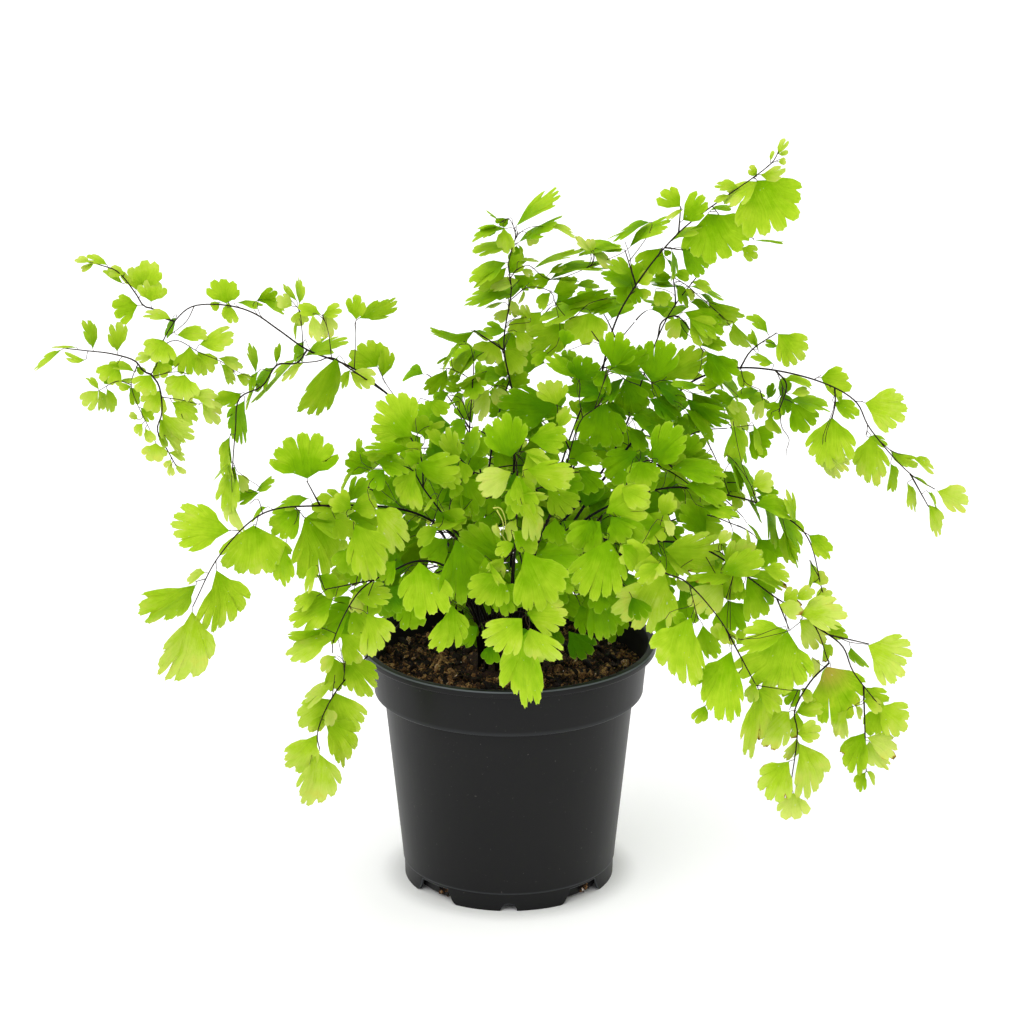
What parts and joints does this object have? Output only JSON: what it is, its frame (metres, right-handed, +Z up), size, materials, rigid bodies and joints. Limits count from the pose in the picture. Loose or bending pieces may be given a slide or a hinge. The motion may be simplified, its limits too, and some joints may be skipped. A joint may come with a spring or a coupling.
{
  "type": "potted fern",
  "caption": "Maidenhair fern with arching wiry fronds of small fan leaflets, growing in a round tapered nursery pot with a stacking collar and slotted foot.",
  "frame": {"origin": "on the ground, on the pot's axis, which is also the middle of the plant's own box seen from above", "axes": "+Z up, -Y towards the side the plant is seen from, +X to that viewer's right"},
  "size_m": [0.3672, 0.2049, 0.3004],
  "materials": {
    "pot": "charcoal moulded plastic, satin, smooth",
    "soil": "crumbly dark potting mix with bark chips and pale flecks",
    "crown": "rough dark fibrous rootstock",
    "foliage": "thin soft bright green leaflets on near-black wiry stalks"
  },
  "bodies": {
    "root": {"pot": "pot", "soil": "soil", "crown": "crown", "frond_left_arch": "foliage", "frond_left_low": "foliage", "frond_left_drape": "foliage", "frond_left_drape_b": "foliage", "frond_upper_stem": "foliage", "frond_upper_left": "foliage", "frond_right_high": "foliage", "frond_right_mid_high": "foliage", "frond_right_arch": "foliage", "frond_right_low": "foliage", "frond_right_front": "foliage", "frond_right_side": "foliage", "frond_front_left": "foliage", "frond_front_mid": "foliage", "frond_front_right": "foliage", "frond_centre": "foliage", "frond_centre_left": "foliage", "frond_centre_right": "foliage", "frond_fill_a": "foliage", "frond_fill_b": "foliage", "frond_fill_c": "foliage", "frond_fill_d": "foliage", "frond_fill_e": "foliage", "frond_fill_f": "foliage", "frond_fill_g": "foliage", "frond_fill_h": "foliage", "frond_back_a": "foliage", "frond_back_b": "foliage", "frond_back_c": "foliage", "frond_back_d": "foliage", "frond_back_e": "foliage", "frond_back_low": "foliage"}
  },
  "joints": []
}
